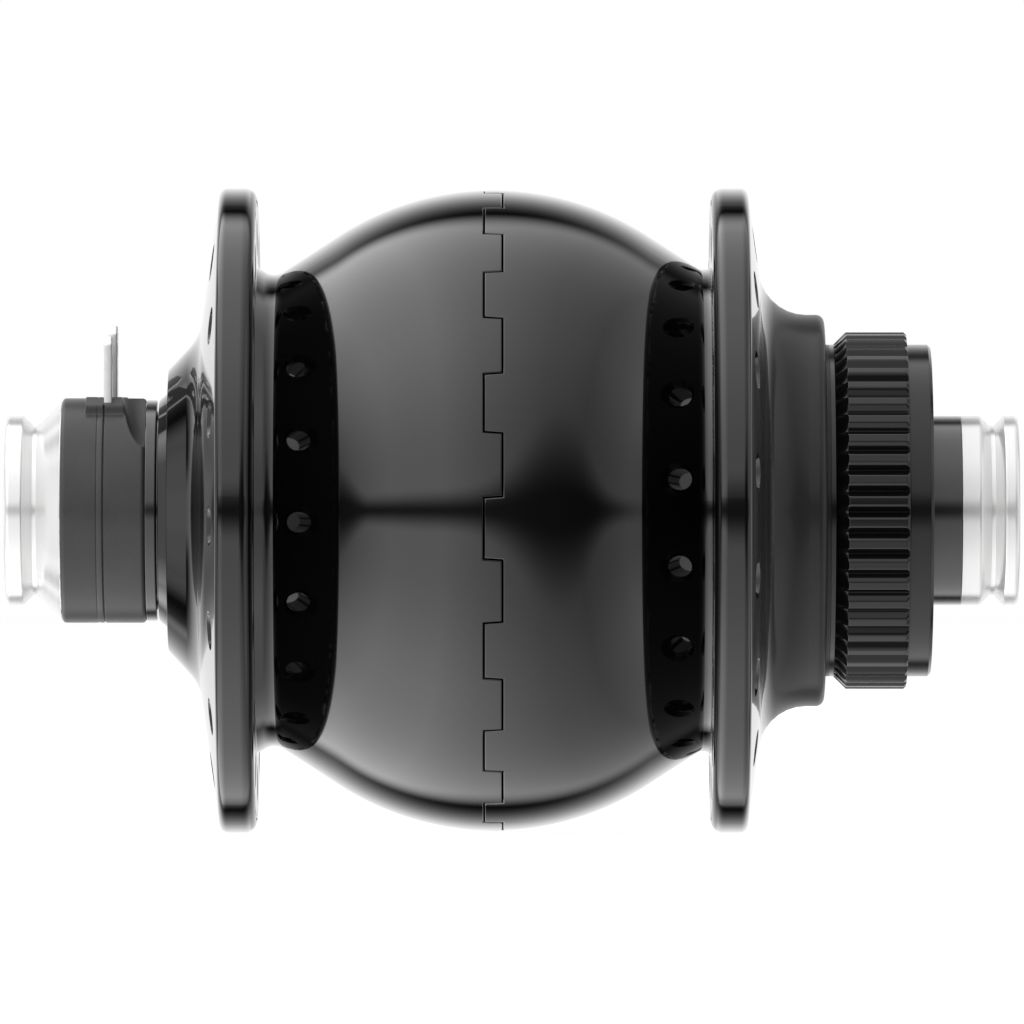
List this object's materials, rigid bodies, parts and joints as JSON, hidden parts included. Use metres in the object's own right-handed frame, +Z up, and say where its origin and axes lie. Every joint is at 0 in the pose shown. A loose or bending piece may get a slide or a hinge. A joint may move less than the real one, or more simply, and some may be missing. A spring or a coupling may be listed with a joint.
{
  "type": "hub dynamo",
  "caption": "Front wheel hub with a ball-shaped shell and claw-pole generator, spoke flanges, a splined disc-rotor seat, blade terminals and a hollow axle for a through axle.",
  "frame": {"origin": "on the axle, midway between the two end faces", "axes": "+Y along the axle towards the disc side, +Z up along the terminals, +X towards the side that the picture was taken from"},
  "size_m": [0.0636, 0.1, 0.0636],
  "materials": {
    "black_anodised": "glossy black anodised aluminium",
    "satin_black": "satin black anodised aluminium",
    "bare_aluminium": "turned, bright",
    "grey_plastic": "fine moulded grain",
    "tinned_brass": "tin plated",
    "axle_steel": "turned",
    "bearing_steel": "ground and polished",
    "soft_iron": "stamped, dull",
    "magnet": "nickel plated",
    "copper": "enamelled wire",
    "nylon": "natural",
    "rubber": "black, dull"
  },
  "bodies": {
    "axle_set": {"axle": "axle_steel", "left_end_cap": "bare_aluminium", "right_end_cap": "bare_aluminium", "cap_o_rings": "rubber", "terminal_block_outer": "grey_plastic", "terminal_block_inner": "grey_plastic", "front_terminal": "tinned_brass", "rear_terminal": "tinned_brass", "lead_wires": "copper", "dust_ring": "satin_black", "right_spacer": "satin_black", "left_inner_race": "bearing_steel", "right_inner_race": "bearing_steel", "left_claw_plate": "soft_iron", "right_claw_plate": "soft_iron", "core_sleeve": "soft_iron", "coil_bobbin": "nylon", "coil_winding": "copper", "stator_nut": "axle_steel"},
    "hub_shell": {"left_shell": "black_anodised", "right_shell": "black_anodised", "seam_o_ring": "rubber", "yoke_ring": "soft_iron", "magnets": "magnet", "left_outer_race": "bearing_steel", "right_outer_race": "bearing_steel", "left_bearing_shields": "rubber", "right_bearing_shields": "rubber", "left_dust_seal": "rubber", "right_dust_seal": "rubber", "left_circlip": "bearing_steel", "right_circlip": "bearing_steel"},
    "left_ball_set": {"left_balls": "bearing_steel", "left_cage": "nylon"},
    "right_ball_set": {"right_balls": "bearing_steel", "right_cage": "nylon"}
  },
  "joints": [
    {"name": "hub_spin", "type": "hinge", "parent": "axle_set", "child": "hub_shell", "pos_m": [0, 0, 0], "axis": [0, 1, 0], "continuous": true},
    {"name": "left_ball_roll", "type": "hinge", "parent": "axle_set", "child": "left_ball_set", "pos_m": [0, 0, 0], "axis": [0, 1, 0], "continuous": true},
    {"name": "right_ball_roll", "type": "hinge", "parent": "axle_set", "child": "right_ball_set", "pos_m": [0, 0, 0], "axis": [0, 1, 0], "continuous": true}
  ],
  "couplings": [
    {"joint": "left_ball_roll", "follows": "hub_spin", "ratio": 0.5851},
    {"joint": "right_ball_roll", "follows": "hub_spin", "ratio": 0.5851}
  ]
}
